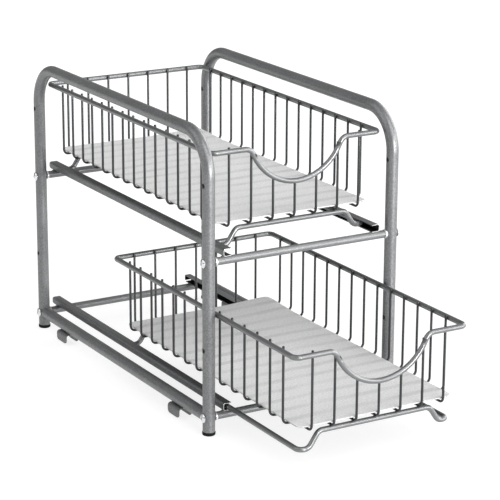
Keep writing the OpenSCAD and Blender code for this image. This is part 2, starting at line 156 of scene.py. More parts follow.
def powderCoat(name, finish):
    # aluminium flake powder coat, sprayed and baked on steel: satin grey, cloudy, with faint orange peel
    material, tree, shader = newMaterial(name, finish["color"], finish["roughness"], finish["metallic"])
    place = addNode(tree, "ShaderNodeTexCoord").outputs["Object"]
    cloud = addNode(tree, "ShaderNodeTexNoise", None, {
        "Vector": place, "Scale": 1 / (finish["cloud"] * mm), "Detail": 3.0}).outputs["Fac"]
    low, high = coatGrain["cloudRange"]
    tone = addNode(tree, "ShaderNodeMapRange", None, {
        "Value": cloud, "From Min": low, "From Max": high,
        "To Min": 1 - finish["toneSpread"], "To Max": 1 + finish["toneSpread"]})
    gloss = addNode(tree, "ShaderNodeMapRange", None, {
        "Value": cloud, "From Min": low, "From Max": high,
        "To Min": finish["roughness"] - coatGrain["glossSpread"],
        "To Max": finish["roughness"] + coatGrain["glossSpread"]})
    tree.links.new(gloss.outputs["Result"], shader.inputs["Roughness"])
    flake = addNode(tree, "ShaderNodeTexNoise", None, {
        "Vector": place, "Scale": 1 / (finish["flake"] * mm), "Detail": 1.0})
    low, high = coatGrain["flakeRange"]
    sparkle = addNode(tree, "ShaderNodeMapRange", None, {
        "Value": flake.outputs["Fac"], "From Min": low, "From Max": high,
        "To Min": 1 - finish["flakeSpread"], "To Max": 1 + finish["flakeSpread"]})
    both = addNode(tree, "ShaderNodeMath", {"operation": "MULTIPLY"}, {
        0: tone.outputs["Result"], 1: sparkle.outputs["Result"]})
    shade = addNode(tree, "ShaderNodeVectorMath", {"operation": "SCALE"}, {
        0: linear(finish["color"])[:3], "Scale": both.outputs["Value"]})
    coated = shade.outputs["Vector"]
    # the rails' channels get a dark colour as painted shade
    if "channelShadeColor" in finish:
        shadedChannel = addNode(tree, "ShaderNodeMix", {"data_type": "RGBA"}, {
            "Factor": channelShadeMask(tree, place, finish), 6: coated, 7: linear(finish["channelShadeColor"])})
        coated = shadedChannel.outputs[2]
    tree.links.new(coated, shader.inputs["Base Color"])
    # orange peel is 1 to 2 mm across; drawn at the wide end so that it still shows
    peel = addNode(tree, "ShaderNodeTexNoise", None, {
        "Vector": place, "Scale": 1 / (finish["peel"] * mm), "Detail": 2.0})
    bump = addNode(tree, "ShaderNodeBump", None, {
        "Height": peel.outputs["Fac"], "Strength": finish["peelStrength"],
        "Distance": coatGrain["peelDepth"] * mm})
    tree.links.new(bump.outputs["Normal"], shader.inputs["Normal"])
    return material


zincFinish = {
    "screw": {"color": "#dfe1e3", "roughness": (0.12, 0.26)},
    # paler than the screws' zinc: partly painted highlight
    "collar": {"color": "#f2f3f4", "roughness": (0.36, 0.5)},
}
zincGrain = {"size": 1.5, "bump": 0.15, "depth": 0.03}


def zincPlate(name, finish):
    # zinc over steel, barrel plated: softly uneven
    brightest, dullest = finish["roughness"]
    material, tree, shader = newMaterial(name, finish["color"], (brightest + dullest) / 2, 1.0)
    place = addNode(tree, "ShaderNodeTexCoord").outputs["Object"]
    uneven = addNode(tree, "ShaderNodeTexNoise", None, {
        "Vector": place, "Scale": 1 / (zincGrain["size"] * mm), "Detail": 3.0})
    gloss = addNode(tree, "ShaderNodeMapRange", None, {
        "Value": uneven.outputs["Fac"], "To Min": brightest, "To Max": dullest})
    tree.links.new(gloss.outputs["Result"], shader.inputs["Roughness"])
    bump = addNode(tree, "ShaderNodeBump", None, {
        "Height": uneven.outputs["Fac"], "Strength": zincGrain["bump"], "Distance": zincGrain["depth"] * mm})
    tree.links.new(bump.outputs["Normal"], shader.inputs["Normal"])
    return material


edgeHighlightFinish = {"color": "#dededf", "roughness": (0.24, 0.4), "grain": 0.6}


def cutSteel(finish):
    # sheet steel, sheared and deburred: a bright fine-grained edge, partly bare steel and partly a painted
    # highlight on the rails' front ends
    brightest, dullest = finish["roughness"]
    material, tree, shader = newMaterial("shearedSteelEdgeHighlight", finish["color"], (brightest + dullest) / 2, 1.0)
    place = addNode(tree, "ShaderNodeTexCoord").outputs["Object"]
    grain = addNode(tree, "ShaderNodeTexNoise", None, {
        "Vector": place, "Scale": 1 / (finish["grain"] * mm), "Detail": 2.0})
    gloss = addNode(tree, "ShaderNodeMapRange", None, {
        "Value": grain.outputs["Fac"], "To Min": brightest, "To Max": dullest})
    tree.links.new(gloss.outputs["Result"], shader.inputs["Roughness"])
    return material


# the tool's grain is about 0.2 mm; drawn coarser so that it shows
rubberFinish = {
    "color": "#08080a", "roughness": 0.85, "ior": 1.52, "shine": 0.3,
    "grain": 0.5, "toneRange": (0.7, 1.5), "bump": 0.4, "depth": 0.05,
}


def mouldedRubber(finish):
    # black rubber, moulded in a blasted tool: dull, with a fine grain
    material, tree, shader = newMaterial("mouldedRubber", finish["color"], finish["roughness"])
    shader.inputs["IOR"].default_value = finish["ior"]
    shader.inputs["Specular IOR Level"].default_value = finish["shine"]
    place = addNode(tree, "ShaderNodeTexCoord").outputs["Object"]
    grain = addNode(tree, "ShaderNodeTexNoise", None, {
        "Vector": place, "Scale": 1 / (finish["grain"] * mm), "Detail": 2.0})
    low, high = finish["toneRange"]
    tone = addNode(tree, "ShaderNodeMapRange", None, {
        "Value": grain.outputs["Fac"], "To Min": low, "To Max": high})
    shade = addNode(tree, "ShaderNodeVectorMath", {"operation": "SCALE"}, {
        0: linear(finish["color"])[:3], "Scale": tone.outputs["Result"]})
    tree.links.new(shade.outputs["Vector"], shader.inputs["Base Color"])
    bump = addNode(tree, "ShaderNodeBump", None, {
        "Height": grain.outputs["Fac"], "Strength": finish["bump"], "Distance": finish["depth"] * mm})
    tree.links.new(bump.outputs["Normal"], shader.inputs["Normal"])
    return material


matFinish = {
    "color": "#dfdfdf", "roughness": 0.7, "ior": 1.49,
    "wireShadeColor": "#cbcbcb",     # painted shade of the wires that it lies on, showing through the sheet
    "bandShare": 0.5,
    "wander": 14,               # how far a band strays
    "wanderSize": 90,
    "fadeSize": 70,             # from a clear stretch of band to a faint one
    "fadeRange": (0.35, 0.65),
    "leastBand": 0.25,          # share of its tone that the faintest stretch keeps
    "ribPitch": 3.5,            # painted shade of fine ribs along the mat, drawn as grey stripes; real ones are finer
    "ribShadeShare": 0.12,
    "grain": 2.0,               # of the frosting; drawn coarser than it is, so that it shows
    "grainRange": (0.35, 0.65),
    "grainTone": (0.9, 1.1),
    "bump": 0.3, "depth": 0.05,
}
wavePitch = 0.314               # metres from band to band of a Wave Texture at scale 1


def frostedMat(finish):
    # frosted polypropylene sheet: milky, half matt, with bands of painted shade where the wires below show
    # through
    material, tree, shader = newMaterial("frostedPolypropylene", finish["color"], finish["roughness"])
    shader.inputs["IOR"].default_value = finish["ior"]
    spot = addNode(tree, "ShaderNodeUVMap", {"uv_map": "matSpot"}).outputs["UV"]
    wander = addNode(tree, "ShaderNodeTexNoise", None, {
        "Vector": spot, "Scale": 1 / (finish["wanderSize"] * mm), "Detail": 1.5})
    along = addNode(tree, "ShaderNodeSeparateXYZ", None, {"Vector": spot}).outputs["Y"]
    moved = addNode(tree, "ShaderNodeMath", {"operation": "MULTIPLY_ADD"}, {
        0: wander.outputs["Fac"], 1: finish["wander"] * mm, 2: along})
    phase = addNode(tree, "ShaderNodeMath", {"operation": "MULTIPLY_ADD"}, {
        0: moved.outputs["Value"], 1: 2 * math.pi / (wirePitch * mm),
        2: -2 * math.pi * (firstWire + finish["wander"] / 2) / wirePitch})
    wave = addNode(tree, "ShaderNodeMath", {"operation": "COSINE"}, {0: phase.outputs["Value"]})
    band = addNode(tree, "ShaderNodeMapRange", {"interpolation_type": "SMOOTHSTEP"}, {
        "Value": wave.outputs["Value"], "From Min": 1 - 2 * finish["bandShare"], "From Max": 1.0})
    fade = addNode(tree, "ShaderNodeTexNoise", None, {
        "Vector": spot, "Scale": 1 / (finish["fadeSize"] * mm), "Detail": 2.0})
    low, high = finish["fadeRange"]
    clear = addNode(tree, "ShaderNodeMapRange", None, {
        "Value": fade.outputs["Fac"], "From Min": low, "From Max": high,
        "To Min": finish["leastBand"], "To Max": 1.0})
    faint = addNode(tree, "ShaderNodeMath", {"operation": "MULTIPLY"}, {
        0: band.outputs["Result"], 1: clear.outputs["Result"]})
    # the ribs' shade is painted into the colour as stripes
    ribs = addNode(tree, "ShaderNodeTexWave", {"bands_direction": "X", "wave_profile": "SIN"}, {
        "Vector": spot, "Scale": wavePitch / (finish["ribPitch"] * mm), "Distortion": 1.0, "Detail": 1.0})
    grey = addNode(tree, "ShaderNodeMath", {"operation": "MULTIPLY_ADD", "use_clamp": True}, {
        0: ribs.outputs["Fac"], 1: finish["ribShadeShare"], 2: faint.outputs["Value"]})
    color = addNode(tree, "ShaderNodeMix", {"data_type": "RGBA"}, {
        "Factor": grey.outputs["Value"], 6: linear(finish["color"]), 7: linear(finish["wireShadeColor"])})
    grain = addNode(tree, "ShaderNodeTexNoise", None, {
        "Vector": spot, "Scale": 1 / (finish["grain"] * mm), "Detail": 2.0})
    (low, high), (darkest, palest) = finish["grainRange"], finish["grainTone"]
    speck = addNode(tree, "ShaderNodeMapRange", None, {
        "Value": grain.outputs["Fac"], "From Min": low, "From Max": high,
        "To Min": darkest, "To Max": palest})
    shade = addNode(tree, "ShaderNodeVectorMath", {"operation": "SCALE"}, {
        0: color.outputs[2], "Scale": speck.outputs["Result"]})
    tree.links.new(shade.outputs["Vector"], shader.inputs["Base Color"])
    bump = addNode(tree, "ShaderNodeBump", None, {
        "Height": grain.outputs["Fac"], "Strength": finish["bump"], "Distance": finish["depth"] * mm})
    tree.links.new(bump.outputs["Normal"], shader.inputs["Normal"])
    return material


# one material for each of the record's slots
coats = {
    "tube_coat": powderCoat("greyPowderCoatTube", coatFinish["tube"]),
    "rod_coat": powderCoat("lightPowderCoatRod", coatFinish["rod"]),
    "rail_coat": powderCoat("greyPowderCoatSheet", coatFinish["rail"]),
    "wire_coat": powderCoat("shadeDarkenedPowderCoatWire", coatFinish["wire"]),
    "screw_zinc": zincPlate("zincPlatedSteel", zincFinish["screw"]),
    "foot_rubber": mouldedRubber(rubberFinish),
    "liner_plastic": frostedMat(matFinish),
}
for part in frame["record"]["subparts"]:
    node = frame["nodes"][part["node"]]
    node.data.materials.clear()
    node.data.materials.append(coats[part["material_slot"]])
barCoat = powderCoat("greyPowderCoatBar", coatFinish["bar"])    # the basket's thick bars
glintCollarZinc = zincPlate("satinZincGlintCollar", zincFinish["collar"])
print("materials made")


# Geometry Nodes
def newTree(name, inputs):
    # a node group with a geometry input, the named inputs and a geometry output
    tree = bpy.data.node_groups.new(name, "GeometryNodeTree")
    tree.interface.new_socket("Geometry", in_out="INPUT", socket_type="NodeSocketGeometry")
    for label, kind in inputs.items():
        tree.interface.new_socket(label, in_out="INPUT", socket_type=kind)
    tree.interface.new_socket("Geometry", in_out="OUTPUT", socket_type="NodeSocketGeometry")
    return tree, addNode(tree, "NodeGroupInput").outputs


def closeTree(tree, geometry, material):
    smooth = addNode(tree, "GeometryNodeSetShadeSmooth", None, {"Geometry": geometry})
    real = addNode(tree, "GeometryNodeRealizeInstances", None, {"Geometry": smooth.outputs["Geometry"]})
    painted = addNode(tree, "GeometryNodeSetMaterial", None, {
        "Geometry": real.outputs["Geometry"], "Material": material})
    addNode(tree, "NodeGroupOutput", None, {"Geometry": painted.outputs["Geometry"]})


def barTree():
    # round bar along every chain of edges, bent at each corner by the point's own radius
    tree, given = newTree("bentBar", {
        "Radius": "NodeSocketFloat", "Bend Steps": "NodeSocketInt", "Sides": "NodeSocketInt",
        "Ripple": "NodeSocketFloat", "Ripple Length": "NodeSocketFloat", "Material": "NodeSocketMaterial"})
    bend = addNode(tree, "GeometryNodeInputNamedAttribute", {"data_type": "FLOAT"}, {"Name": "bendRadius"})
    width = addNode(tree, "GeometryNodeInputNamedAttribute", {"data_type": "FLOAT"}, {"Name": "width"})
    line = addNode(tree, "GeometryNodeMeshToCurve", None, {"Mesh": given["Geometry"]})
    bent = addNode(tree, "GeometryNodeFilletCurve", {"mode": "POLY"}, {
        "Curve": line.outputs["Curve"], "Count": given["Bend Steps"], "Radius": bend.outputs["Attribute"]})
    length = addNode(tree, "GeometryNodeSplineParameter").outputs["Length"]
    turns = addNode(tree, "ShaderNodeMath", {"operation": "DIVIDE"}, {0: length, 1: given["Ripple Length"]})
    angle = addNode(tree, "ShaderNodeMath", {"operation": "MULTIPLY"}, {
        0: turns.outputs["Value"], 1: 2 * math.pi})
    wave = addNode(tree, "ShaderNodeMath", {"operation": "SINE"}, {0: angle.outputs["Value"]})
    ripple = addNode(tree, "ShaderNodeMath", {"operation": "MULTIPLY_ADD"}, {
        0: wave.outputs["Value"], 1: given["Ripple"], 2: 1.0})
    scale = addNode(tree, "ShaderNodeMath", {"operation": "MULTIPLY"}, {
        0: ripple.outputs["Value"], 1: width.outputs["Attribute"]})
    ring = addNode(tree, "GeometryNodeCurvePrimitiveCircle", None, {
        "Resolution": given["Sides"], "Radius": given["Radius"]})
    bar = addNode(tree, "GeometryNodeCurveToMesh", None, {
        "Curve": bent.outputs["Curve"], "Profile Curve": ring.outputs["Curve"],
        "Scale": scale.outputs["Value"], "Fill Caps": True})
    closeTree(tree, bar.outputs["Mesh"], given["Material"])
    return tree


def repeatTree():
    # the master shape on every point, its +Z turned along the point's own direction
    tree, given = newTree("repeated", {
        "Shape": "NodeSocketObject", "Least Size": "NodeSocketFloat", "Most Size": "NodeSocketFloat",
        "Seed": "NodeSocketInt", "Material": "NodeSocketMaterial"})
    facing = addNode(tree, "GeometryNodeInputNamedAttribute", {"data_type": "FLOAT_VECTOR"}, {
        "Name": "facing"})
    aligned = addNode(tree, "FunctionNodeAlignRotationToVector", {"axis": "Z"}, {
        "Vector": facing.outputs["Attribute"]})
    shape = addNode(tree, "GeometryNodeObjectInfo", None, {"Object": given["Shape"]})
    size = addNode(tree, "FunctionNodeRandomValue", {"data_type": "FLOAT"}, {
        2: given["Least Size"], 3: given["Most Size"], "Seed": given["Seed"]})
    placed = addNode(tree, "GeometryNodeInstanceOnPoints", None, {
        "Points": given["Geometry"], "Instance": shape.outputs["Geometry"],
        "Rotation": aligned.outputs["Rotation"], "Scale": size.outputs["Value"]})
    closeTree(tree, placed.outputs["Instances"], given["Material"])
    return tree


barNodes = barTree()
repeatNodes = repeatTree()


def newObject(name, mesh):
    obj = bpy.data.objects.new(name, mesh)
    bpy.context.scene.collection.objects.link(obj)
    return obj


def keepResult(obj):
    # replaces the mesh by the one that the modifiers make
    graph = bpy.context.evaluated_depsgraph_get()
    result = bpy.data.meshes.new_from_object(obj.evaluated_get(graph))
    obj.modifiers.clear()
    obj.data = result


def shapeBy(obj, tree, values):
    # runs the tree on the object and keeps the result as its plain mesh
    modifier = obj.modifiers.new("shape", "NODES")
    modifier.node_group = tree
    for socket in tree.interface.items_tree:
        if socket.item_type == "SOCKET" and socket.in_out == "INPUT" and socket.name in values:
            modifier[socket.identifier] = values[socket.name]
    keepResult(obj)


def bentBars(name, paths, closed, settings, material):
    # each path is a list of corners: x, y, z, bend radius and share of the full width, in mm
    points, edges, bends, widths = [], [], [], []
    for path in paths:
        first = len(points)
        for corner in path:
            points.append([c * mm for c in corner[:3]])
            bends.append(corner[3] * mm)
            widths.append(corner[4] if len(corner) > 4 else 1.0)
        edges += [(i, i + 1) for i in range(first, len(points) - 1)]
        if closed:
            edges.append((len(points) - 1, first))
    mesh = bpy.data.meshes.new(name)
    mesh.from_pydata(points, edges, [])
    mesh.attributes.new("bendRadius", "FLOAT", "POINT").data.foreach_set("value", bends)
    mesh.attributes.new("width", "FLOAT", "POINT").data.foreach_set("value", widths)
    obj = newObject(name, mesh)
    shapeBy(obj, barNodes, {
        "Radius": settings["diameter"] / 2 * mm, "Bend Steps": settings["bendSteps"],
        "Sides": settings["sides"], "Ripple": settings.get("ripple", 0.0),
        "Ripple Length": settings.get("rippleLength", 1.0) * mm, "Material": material})
    return obj


def repeated(name, master, spots, sizes, seed, material):
    # spots are pairs of a place in mm and a direction; the master is used up
    mesh = bpy.data.meshes.new(name)
    mesh.from_pydata([[c * mm for c in place] for place, facing in spots], [], [])
    mesh.attributes.new("facing", "FLOAT_VECTOR", "POINT").data.foreach_set(
        "vector", [c for place, facing in spots for c in facing])
    obj = newObject(name, mesh)
    shapeBy(obj, repeatNodes, {
        "Shape": master, "Least Size": sizes[0], "Most Size": sizes[1], "Seed": seed, "Material": material})
    bpy.data.objects.remove(master)
    return obj


def turned(name, rings, sides):
    # a turned shape from rings of radius and height in mm; a third number is how far a ring is hexagonal
    points, faces = [], []
    for radius, height, *hexShare in rings:
        share = hexShare[0] if hexShare else 0
        for i in range(sides):
            angle = 2 * math.pi * i / sides
            flat = math.cos(math.pi / 6) / math.cos((angle + math.pi / 6) % (math.pi / 3) - math.pi / 6)
            r = radius * (1 + share * (flat - 1)) * mm
            points.append((r * math.cos(angle), r * math.sin(angle), height * mm))
    for k in range(len(rings) - 1):
        for i in range(sides):
            j = (i + 1) % sides
            faces.append((k * sides + i, k * sides + j, (k + 1) * sides + j, (k + 1) * sides + i))
    faces.append([i for i in range(sides)][::-1])
    faces.append([(len(rings) - 1) * sides + i for i in range(sides)])
    mesh = bpy.data.meshes.new(name)
    mesh.from_pydata(points, [], faces)
    return newObject(name, mesh)


def fourCorners(x, y):
    # side (-1 left, 1 right), end (-1 front, 1 rear) and place of each of the four
    return [(side, end, side * x, end * y) for side in (-1, 1) for end in (-1, 1)]


print("trees built")

# baskets; heights are from the axes of the tier's rods, other places from the basket's middle, mm
basketSizes = {
    "rimX": 107.9, "rimY": 205, "rimHeight": 117.05, "rimBend": 7,
    "scoopDepth": 43, "scoopRadius": 61, "shoulderRadius": 11.5,
    "sideWireX": 103.45, "endWireY": 200.55, "wireBend": 6,
    "longHeight": 31.3, "crossHeight": 34.15, "tipRise": 3.5,
    "crossPitch": wirePitch, "crossCount": 14, "longPitch": 28, "longCount": 7,
    "tipEdge": [(0.0, 0.62), (0.12, 0.82), (0.35, 0.95), (0.7, 1.0)],   # drop and share of width
    "barX": 95.2, "barY": 193.5, "barHeight": 8.85, "runnerBend": 7,
    "stepTopHeight": 26.85, "stepSlope": 56, "stepBend": 9, "stepGap": 0.4,
    "stepTopReach": 66,     # long wires nearer the middle lie on the runner's raised ends
    "rimBar": {"diameter": 6, "bendSteps": 18, "sides": 28},
    "wire": {"diameter": 2.8, "bendSteps": 8, "sides": 14},
}
tiers = {       # where a basket's middle stands from front to back, its rods' height and its body
    "lower": {"middle": -172, "rods": rodHeights["lower"], "body": "lower_basket"},
    "upper": {"middle": 3, "rods": rodHeights["upper"], "body": "upper_basket"},
}
weldSizes = {
    "nugget": (1.55, 0.8),      # half width and half height of the squeezed metal at a crossing
    "profile": [(0.3, -1), (0.75, -0.7), (1, -0.2), (1, 0.2), (0.75, 0.7), (0.3, 1)],   # shares of both
    "sides": 8,
    "spread": (0.85, 1.15),
    "seed": 7,
}


def onTier(path, tier):
    return [[p[0], p[1] + tier["middle"], p[2] + tier["rods"], *p[3:]] for p in path]


def row(count, pitch):
    return [(i - (count - 1) / 2) * pitch for i in range(count)]


def scoopTurn(s):
    # angle that the rim turns through between its level and the scoop's arc
    together = s["scoopRadius"] + s["shoulderRadius"]
    return math.acos((s["scoopRadius"] - s["scoopDepth"] + s["shoulderRadius"]) / together)


def scoopDrop(x, s):
    # how far the rim's axis stands below its level at x
    turn = scoopTurn(s)
    shoulderX = (s["scoopRadius"] + s["shoulderRadius"]) * math.sin(turn)
    if abs(x) < s["scoopRadius"] * math.sin(turn):
        return s["scoopDepth"] - s["scoopRadius"] + math.sqrt(s["scoopRadius"] ** 2 - x ** 2)
    if abs(x) < shoulderX:
        return s["shoulderRadius"] - math.sqrt(s["shoulderRadius"] ** 2 - (shoulderX - abs(x)) ** 2)
    return 0


def rimPath(s):
    turn = scoopTurn(s)
    shoulderX = (s["scoopRadius"] + s["shoulderRadius"]) * math.sin(turn)
    cornerX = shoulderX - s["shoulderRadius"] * math.tan(turn / 2)
    x, y, z = s["rimX"], s["rimY"], s["rimHeight"]
    return [
        [x, y, z, s["rimBend"]], [-x, y, z, s["rimBend"]], [-x, -y, z, s["rimBend"]],
        [-cornerX, -y, z, s["shoulderRadius"]], [0, -y, z - cornerX * math.tan(turn), s["scoopRadius"]],
        [cornerX, -y, z, s["shoulderRadius"]], [x, -y, z, s["rimBend"]]]


def runnerPath(s):
    slope = math.radians(s["stepSlope"])
    footX = s["barX"] - s["runnerBend"] - s["stepGap"] - s["stepBend"] * math.tan(slope / 2)
    topX = footX - (s["stepTopHeight"] - s["barHeight"]) / math.tan(slope)
    quarter = [
        [s["barX"], s["barY"], s["barHeight"], s["runnerBend"]],
        [footX, s["barY"], s["barHeight"], s["stepBend"]],
        [topX, s["barY"], s["stepTopHeight"], s["stepBend"]]]
    back = quarter + [[-x, y, z, r] for x, y, z, r in quarter[::-1]]
    return back + [[x, -y, z, r] for x, y, z, r in back[::-1]]


def cutTip(x, y, top, s):
    # the first points of a sheared wire end, its edge slightly rounded by the coat
    return [[x, y, top - drop, 0, share] for drop, share in s["tipEdge"]]


def crossWirePaths(s):
    x, z, top = s["sideWireX"], s["crossHeight"], s["rimHeight"] + s["tipRise"]
    paths = []
    for y in row(s["crossCount"], s["crossPitch"]):
        bottom = [[-x, y, z, s["wireBend"]], [x, y, z, s["wireBend"]]]
        paths.append(cutTip(-x, y, top, s) + bottom + cutTip(x, y, top, s)[::-1])
    return paths


def longWirePaths(s):
    y, z, top = s["endWireY"], s["longHeight"], s["rimHeight"] + s["tipRise"]
    paths = []
    for x in row(s["longCount"], s["longPitch"]):
        drop = scoopDrop(x, s)
        front = s["rimHeight"] - drop if drop > 0 else top
        bottom = [[x, -y, z, s["wireBend"]], [x, y, z, s["wireBend"]]]
        paths.append(cutTip(x, -y, front, s) + bottom + cutTip(x, y, top, s)[::-1])
    return paths


def weldSpots(s):
    # where wires touch each other, the rim and the runner
    wire, bar = s["wire"]["diameter"] / 2, s["rimBar"]["diameter"] / 2
    longRow = row(s["longCount"], s["longPitch"])
    spots = []
    for y in row(s["crossCount"], s["crossPitch"]):
        spots += [((x, y, s["longHeight"] + wire), (0, 0, 1)) for x in longRow]
        spots += [((side * (s["rimX"] - bar), y, s["rimHeight"]), (side, 0, 0)) for side in (-1, 1)]
    for x in longRow:
        spots.append(((x, s["rimY"] - bar, s["rimHeight"]), (0, 1, 0)))
        spots.append(((x, bar - s["rimY"], s["rimHeight"] - scoopDrop(x, s)), (0, -1, 0)))
        if abs(x) < s["stepTopReach"]:
            spots += [((x, end * s["barY"], s["stepTopHeight"] + bar), (0, 0, 1)) for end in (-1, 1)]
    return spots


def makeBasket(name, tier, s):
    # wires and their welds take the darkened coat, as painted shade
    shadeDarkenedWireCoat = coats["wire_coat"]
    rim, runner = [onTier(rimPath(s), tier)], [onTier(runnerPath(s), tier)]
    crossWires = [onTier(path, tier) for path in crossWirePaths(s)]
    longWires = [onTier(path, tier) for path in longWirePaths(s)]
    pieces = {
        "rim": bentBars(name + "BasketRim", rim, True, s["rimBar"], barCoat),
        "cross_wires": bentBars(name + "BasketCrossWires", crossWires, False, s["wire"], shadeDarkenedWireCoat),
        "long_wires": bentBars(name + "BasketLongWires", longWires, False, s["wire"], shadeDarkenedWireCoat),
        "runner": bentBars(name + "BasketRunner", runner, True, s["rimBar"], barCoat),
    }
    for part, piece in pieces.items():
        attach(piece, tier["body"])
        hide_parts(name + "_" + part)
    width, height = weldSizes["nugget"]
    nugget = turned("nugget", [(w * width, h * height) for w, h in weldSizes["profile"]], weldSizes["sides"])
    spots = [(onTier([place], tier)[0], facing) for place, facing in weldSpots(s)]
    welds = repeated(name + "BasketWelds", nugget, spots, weldSizes["spread"], weldSizes["seed"], shadeDarkenedWireCoat)
    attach(welds, tier["body"])


for tierName, tier in tiers.items():
    makeBasket(tierName, tier, basketSizes)
print("baskets bent and welded")

# mats: thin sheets that sag a little between the wires
matSizes = {
    "halfWidth": 98.35, "front": -198.74, "rear": 195.19, "corner": 8,
    "bottom": 35.65, "thickness": 1.5, "edge": 0.35,
    "sag": 0.2,                     # between two wires
    # waves in the sag: share of it, and radians per mm across and along
    "sway": [(0.25, 0.05, 0.021), (0.15, 0.11, -0.05)],
    "curl": 2.6, "curlReach": 75,   # how far the right rear corner lifts, and how far in that starts
    "cells": (30, 132), "cornerCells": 4,
}


def matLines(half, cells, s):
    # grid lines across a mat, closer together in the corners
    inner = half - s["corner"]
    corner = [inner + s["corner"] * (k + 1) / s["cornerCells"] for k in range(s["cornerCells"])]
    return [-c for c in corner[::-1]] + [inner * (2 * i / cells - 1) for i in range(cells + 1)] + corner


def matHeight(x, y, s):
    # top of the mat: sagging between the wires, lifted in its right rear corner
    overWires = abs(y) <= -firstWire
    between = math.sin(math.pi * (y - firstWire) / wirePitch) ** 2 if overWires else 0
    sway = 1 + sum(share * math.sin(x * across + y * along) for share, across, along in s["sway"])
    fromCorner = math.hypot(s["halfWidth"] - x, s["rear"] - y) / s["curlReach"]
    lift = s["curl"] * max(0, 1 - fromCorner) ** 2 * (1 + 2 * min(1, fromCorner))
    return s["bottom"] + s["thickness"] - s["sag"] * between * sway + lift


def makeMat(name, tier, s):
    halfLength, middle = (s["rear"] - s["front"]) / 2, (s["rear"] + s["front"]) / 2
    xs = matLines(s["halfWidth"], s["cells"][0], s)
    ys = matLines(halfLength, s["cells"][1], s)
    points, spots = [], []
    for y in ys:
        for x in xs:
            # a square corner pressed to a quarter round
            u = max(0, abs(x) - (s["halfWidth"] - s["corner"])) / s["corner"]
            v = max(0, abs(y) - (halfLength - s["corner"])) / s["corner"]
            px = x - math.copysign(s["corner"] * u * (1 - math.sqrt(1 - v * v / 2)), x)
            py = y - math.copysign(s["corner"] * v * (1 - math.sqrt(1 - u * u / 2)), y) + middle
            top = tier["rods"] + matHeight(px, py, s)
            points.append((px * mm, (py + tier["middle"]) * mm, top * mm))
            spots.append((px * mm, py * mm))
    n = len(xs)
    starts = [j * n + i for j in range(len(ys) - 1) for i in range(n - 1)]
    faces = [(k, k + 1, k + n + 1, k + n) for k in starts]
    mesh = bpy.data.meshes.new(name + "BasketMat")
    mesh.from_pydata(points, [], faces)
    layer = mesh.uv_layers.new(name="matSpot")
    for loop in mesh.loops:
        layer.data[loop.index].uv = spots[loop.vertex_index]
    mat = newObject(name + "BasketMat", mesh)
    wall = mat.modifiers.new("thickness", "SOLIDIFY")
    wall.thickness = s["thickness"] * mm
    wall.offset = -1
    edge = mat.modifiers.new("edge", "BEVEL")
    edge.width = s["edge"] * mm
    edge.segments = 2
    edge.angle_limit = math.radians(60)
    keepResult(mat)
    mat.data.shade_smooth()
    mat.data.materials.append(coats["liner_plastic"])
    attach(mat, tier["body"])
    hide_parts(name + "_liner")


for tierName, tier in tiers.items():
    makeMat(tierName, tier, matSizes)
print("mats laid")

# screws: button heads with a hex socket, on the outside of the legs
screwSizes = {
    "faceX": 125.55, "sides": 48,
    "rings": [      # radius, height above the leg and how far it is hexagonal
        (1.9, -25), (2.45, -24.5), (2.5, -24), (2.5, -0.02), (4.7, 0), (5.1, 0.1), (5.25, 0.35), (5.23, 0.6),
        (5.08, 0.8), (4.8, 1.03), (4.3, 1.4), (3.6, 1.84), (2.9, 2.18), (2.3, 2.41), (2.0, 2.5),
        (1.85, 2.5, 0.5), (1.74, 2.38, 1), (1.73, 1.5, 1), (1.7, 1.25, 1), (0.4, 0.95, 1)],
}


def makeScrews(name, height, node, s):
    master = turned("screw", s["rings"], s["sides"])
    spots = [((x, y, height), (side, 0, 0)) for side, end, x, y in fourCorners(s["faceX"], legY)]
    screws = repeated(name, master, spots, (1.0, 1.0), 1, coats["screw_zinc"])
    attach(screws, "frame")
    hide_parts(node)


makeScrews("lowerScrews", rodHeights["lower"], "lower_screws", screwSizes)
makeScrews("upperScrews", rodHeights["upper"], "upper_screws", screwSizes)

# collars: rings where the rods' threaded inserts meet the legs, partly the inserts' real zinc collars and
# partly a painted highlight, drawn near-white for the glint there
collarSizes = {
    "faceX": 111.5, "sides": 40,
    "rings": [      # radius and height above the leg
        (4.4, -0.05), (4.9, 0), (5.15, 0.2), (5.2, 0.6), (5.2, 1.7), (5.1, 2.1), (4.85, 2.3), (4.4, 2.35)],
}


def makeCollars(name, height, s):
    master = turned("ring", s["rings"], s["sides"])
    spots = [((x, y, height), (-side, 0, 0)) for side, end, x, y in fourCorners(s["faceX"], legY)]
    collars = repeated(name, master, spots, (1.0, 1.0), 1, glintCollarZinc)
    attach(collars, "frame")


makeCollars("lowerRodRings", rodHeights["lower"], collarSizes)
makeCollars("upperRodRings", rodHeights["upper"], collarSizes)

# feet: end caps with a hollow sole
footSizes = {
    "sides": 48,
    "rings": [      # radius and height above the floor
        (1.0, 0.7), (4.2, 0.7), (4.6, 0.55), (4.9, 0.12), (5.3, 0), (6.3, 0), (6.8, 0.12), (7.2, 0.5),
        (7.45, 1.0), (7.5, 1.5), (7.5, 3.3), (7.42, 3.7), (7.2, 3.92), (6.9, 4.0), (5.72, 4.02),
        (5.72, 13.6), (5.3, 14.0), (1.0, 14.0)],
}


def makeFoot(side, end, place, s):
    sideName = "left" if side < 0 else "right"
    endName = "front" if end < 0 else "rear"
    master = turned("foot", s["rings"], s["sides"])
    name = endName + sideName.capitalize() + "Foot"
    foot = repeated(name, master, [(place, (0, 0, 1))], (1.0, 1.0), 1, coats["foot_rubber"])
    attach(foot, "frame")
    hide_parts("foot_" + endName + "_" + sideName)


for side, end, x, y in fourCorners(legX, legY):
    makeFoot(side, end, (x, y, 0), footSizes)
print("screws and feet placed")

